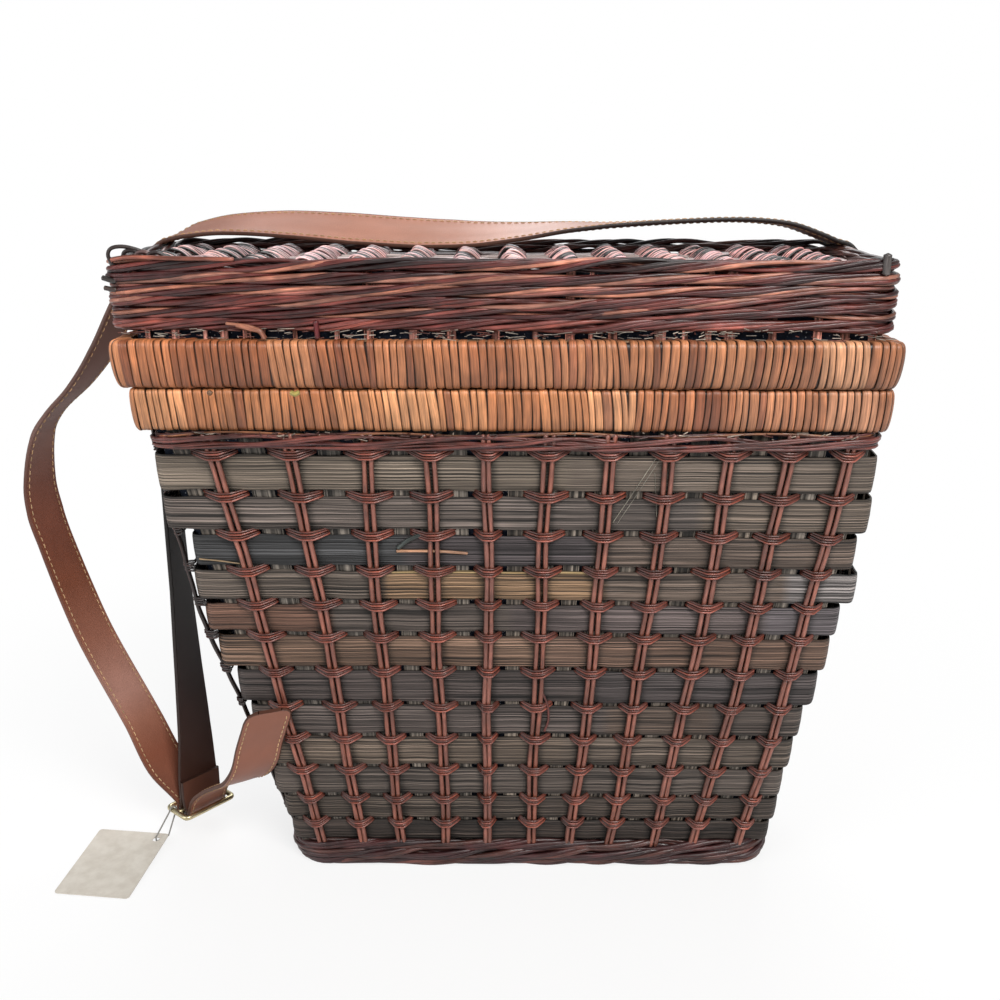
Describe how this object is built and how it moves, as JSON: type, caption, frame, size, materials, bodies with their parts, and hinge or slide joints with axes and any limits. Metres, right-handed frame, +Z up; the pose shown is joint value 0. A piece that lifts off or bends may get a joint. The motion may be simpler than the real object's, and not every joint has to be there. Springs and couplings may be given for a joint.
{
  "type": "wicker picnic basket",
  "caption": "Tapered wicker picnic basket with a splint body on tied uprights, cane-bound rims, a hinged woven lid, a leather shoulder strap with a slide buckle, and a blank hang tag.",
  "frame": {"origin": "on the floor, straight below the middle of the lid's rim", "axes": "+X to the right of the front (the strap hangs at -X), +Y to the hinged back, +Z up"},
  "size_m": [0.485, 0.151, 0.3778],
  "materials": {
    "splint": "matte, grained",
    "stake": "matte, grained",
    "wicker": "satin",
    "rope": "satin",
    "cane": "satin",
    "rim_wood": "matte",
    "lining_fabric": "matte",
    "leather": "satin",
    "brass": "satin",
    "card": "matte"
  },
  "bodies": {
    "basket": {"base_panel": "splint", "base_border": "rope", "body_stake_wall": "stake", "body_lining": "lining_fabric", "splint_hoop_01": "splint", "splint_hoop_02": "splint", "splint_hoop_03": "splint", "splint_hoop_04": "splint", "splint_hoop_05": "splint", "splint_hoop_06": "splint", "splint_hoop_07": "splint", "splint_hoop_08": "splint", "splint_hoop_09": "splint", "splint_hoop_10": "splint", "splint_hoop_11": "splint", "splint_hoop_12": "splint", "uprights_front": "wicker", "uprights_back": "wicker", "uprights_left": "wicker", "uprights_right": "wicker", "twined_band": "rope", "body_rim_core": "rim_wood", "body_rim_wrap": "cane", "body_rim_inner_hoop": "rim_wood", "hinge_lower_left": "leather", "hinge_lower_right": "leather", "strap_short": "leather", "strap_fall_and_tail": "leather", "strap_right_end": "leather", "rivet_left": "brass", "rivet_right": "brass", "buckle": "brass"},
    "lid": {"lid_rim_core": "rim_wood", "lid_rim_wrap": "cane", "lid_rim_inner_hoop": "rim_wood", "lid_stake_wall": "stake", "lid_lining": "lining_fabric", "lid_waling_1": "rope", "lid_waling_2": "rope", "lid_waling_3": "rope", "lid_waling_4": "rope", "lid_waling_5": "rope", "lid_top_border": "rope", "lid_splint_1": "splint", "lid_splint_2": "splint", "lid_splint_3": "splint", "lid_splint_4": "splint", "lid_splint_5": "splint", "lid_splint_6": "splint", "lid_top_wickers": "wicker", "hinge_upper_left": "leather", "hinge_upper_right": "leather", "strap_over_lid": "leather"},
    "tag": {"hang_tag": "card", "tag_loop": "card"}
  },
  "joints": [
    {"name": "lid_hinge", "type": "hinge", "parent": "basket", "child": "lid", "pos_m": [0, 0.0726, 0.2961], "axis": [-1, 0, 0], "range_deg": [0, 105]},
    {"name": "tag_swing", "type": "hinge", "parent": "basket", "child": "tag", "pos_m": [-0.20771, -0.01258, 0.0165], "axis": [-0.7581, 0.6521, 0], "range_deg": [0, 60]}
  ]
}
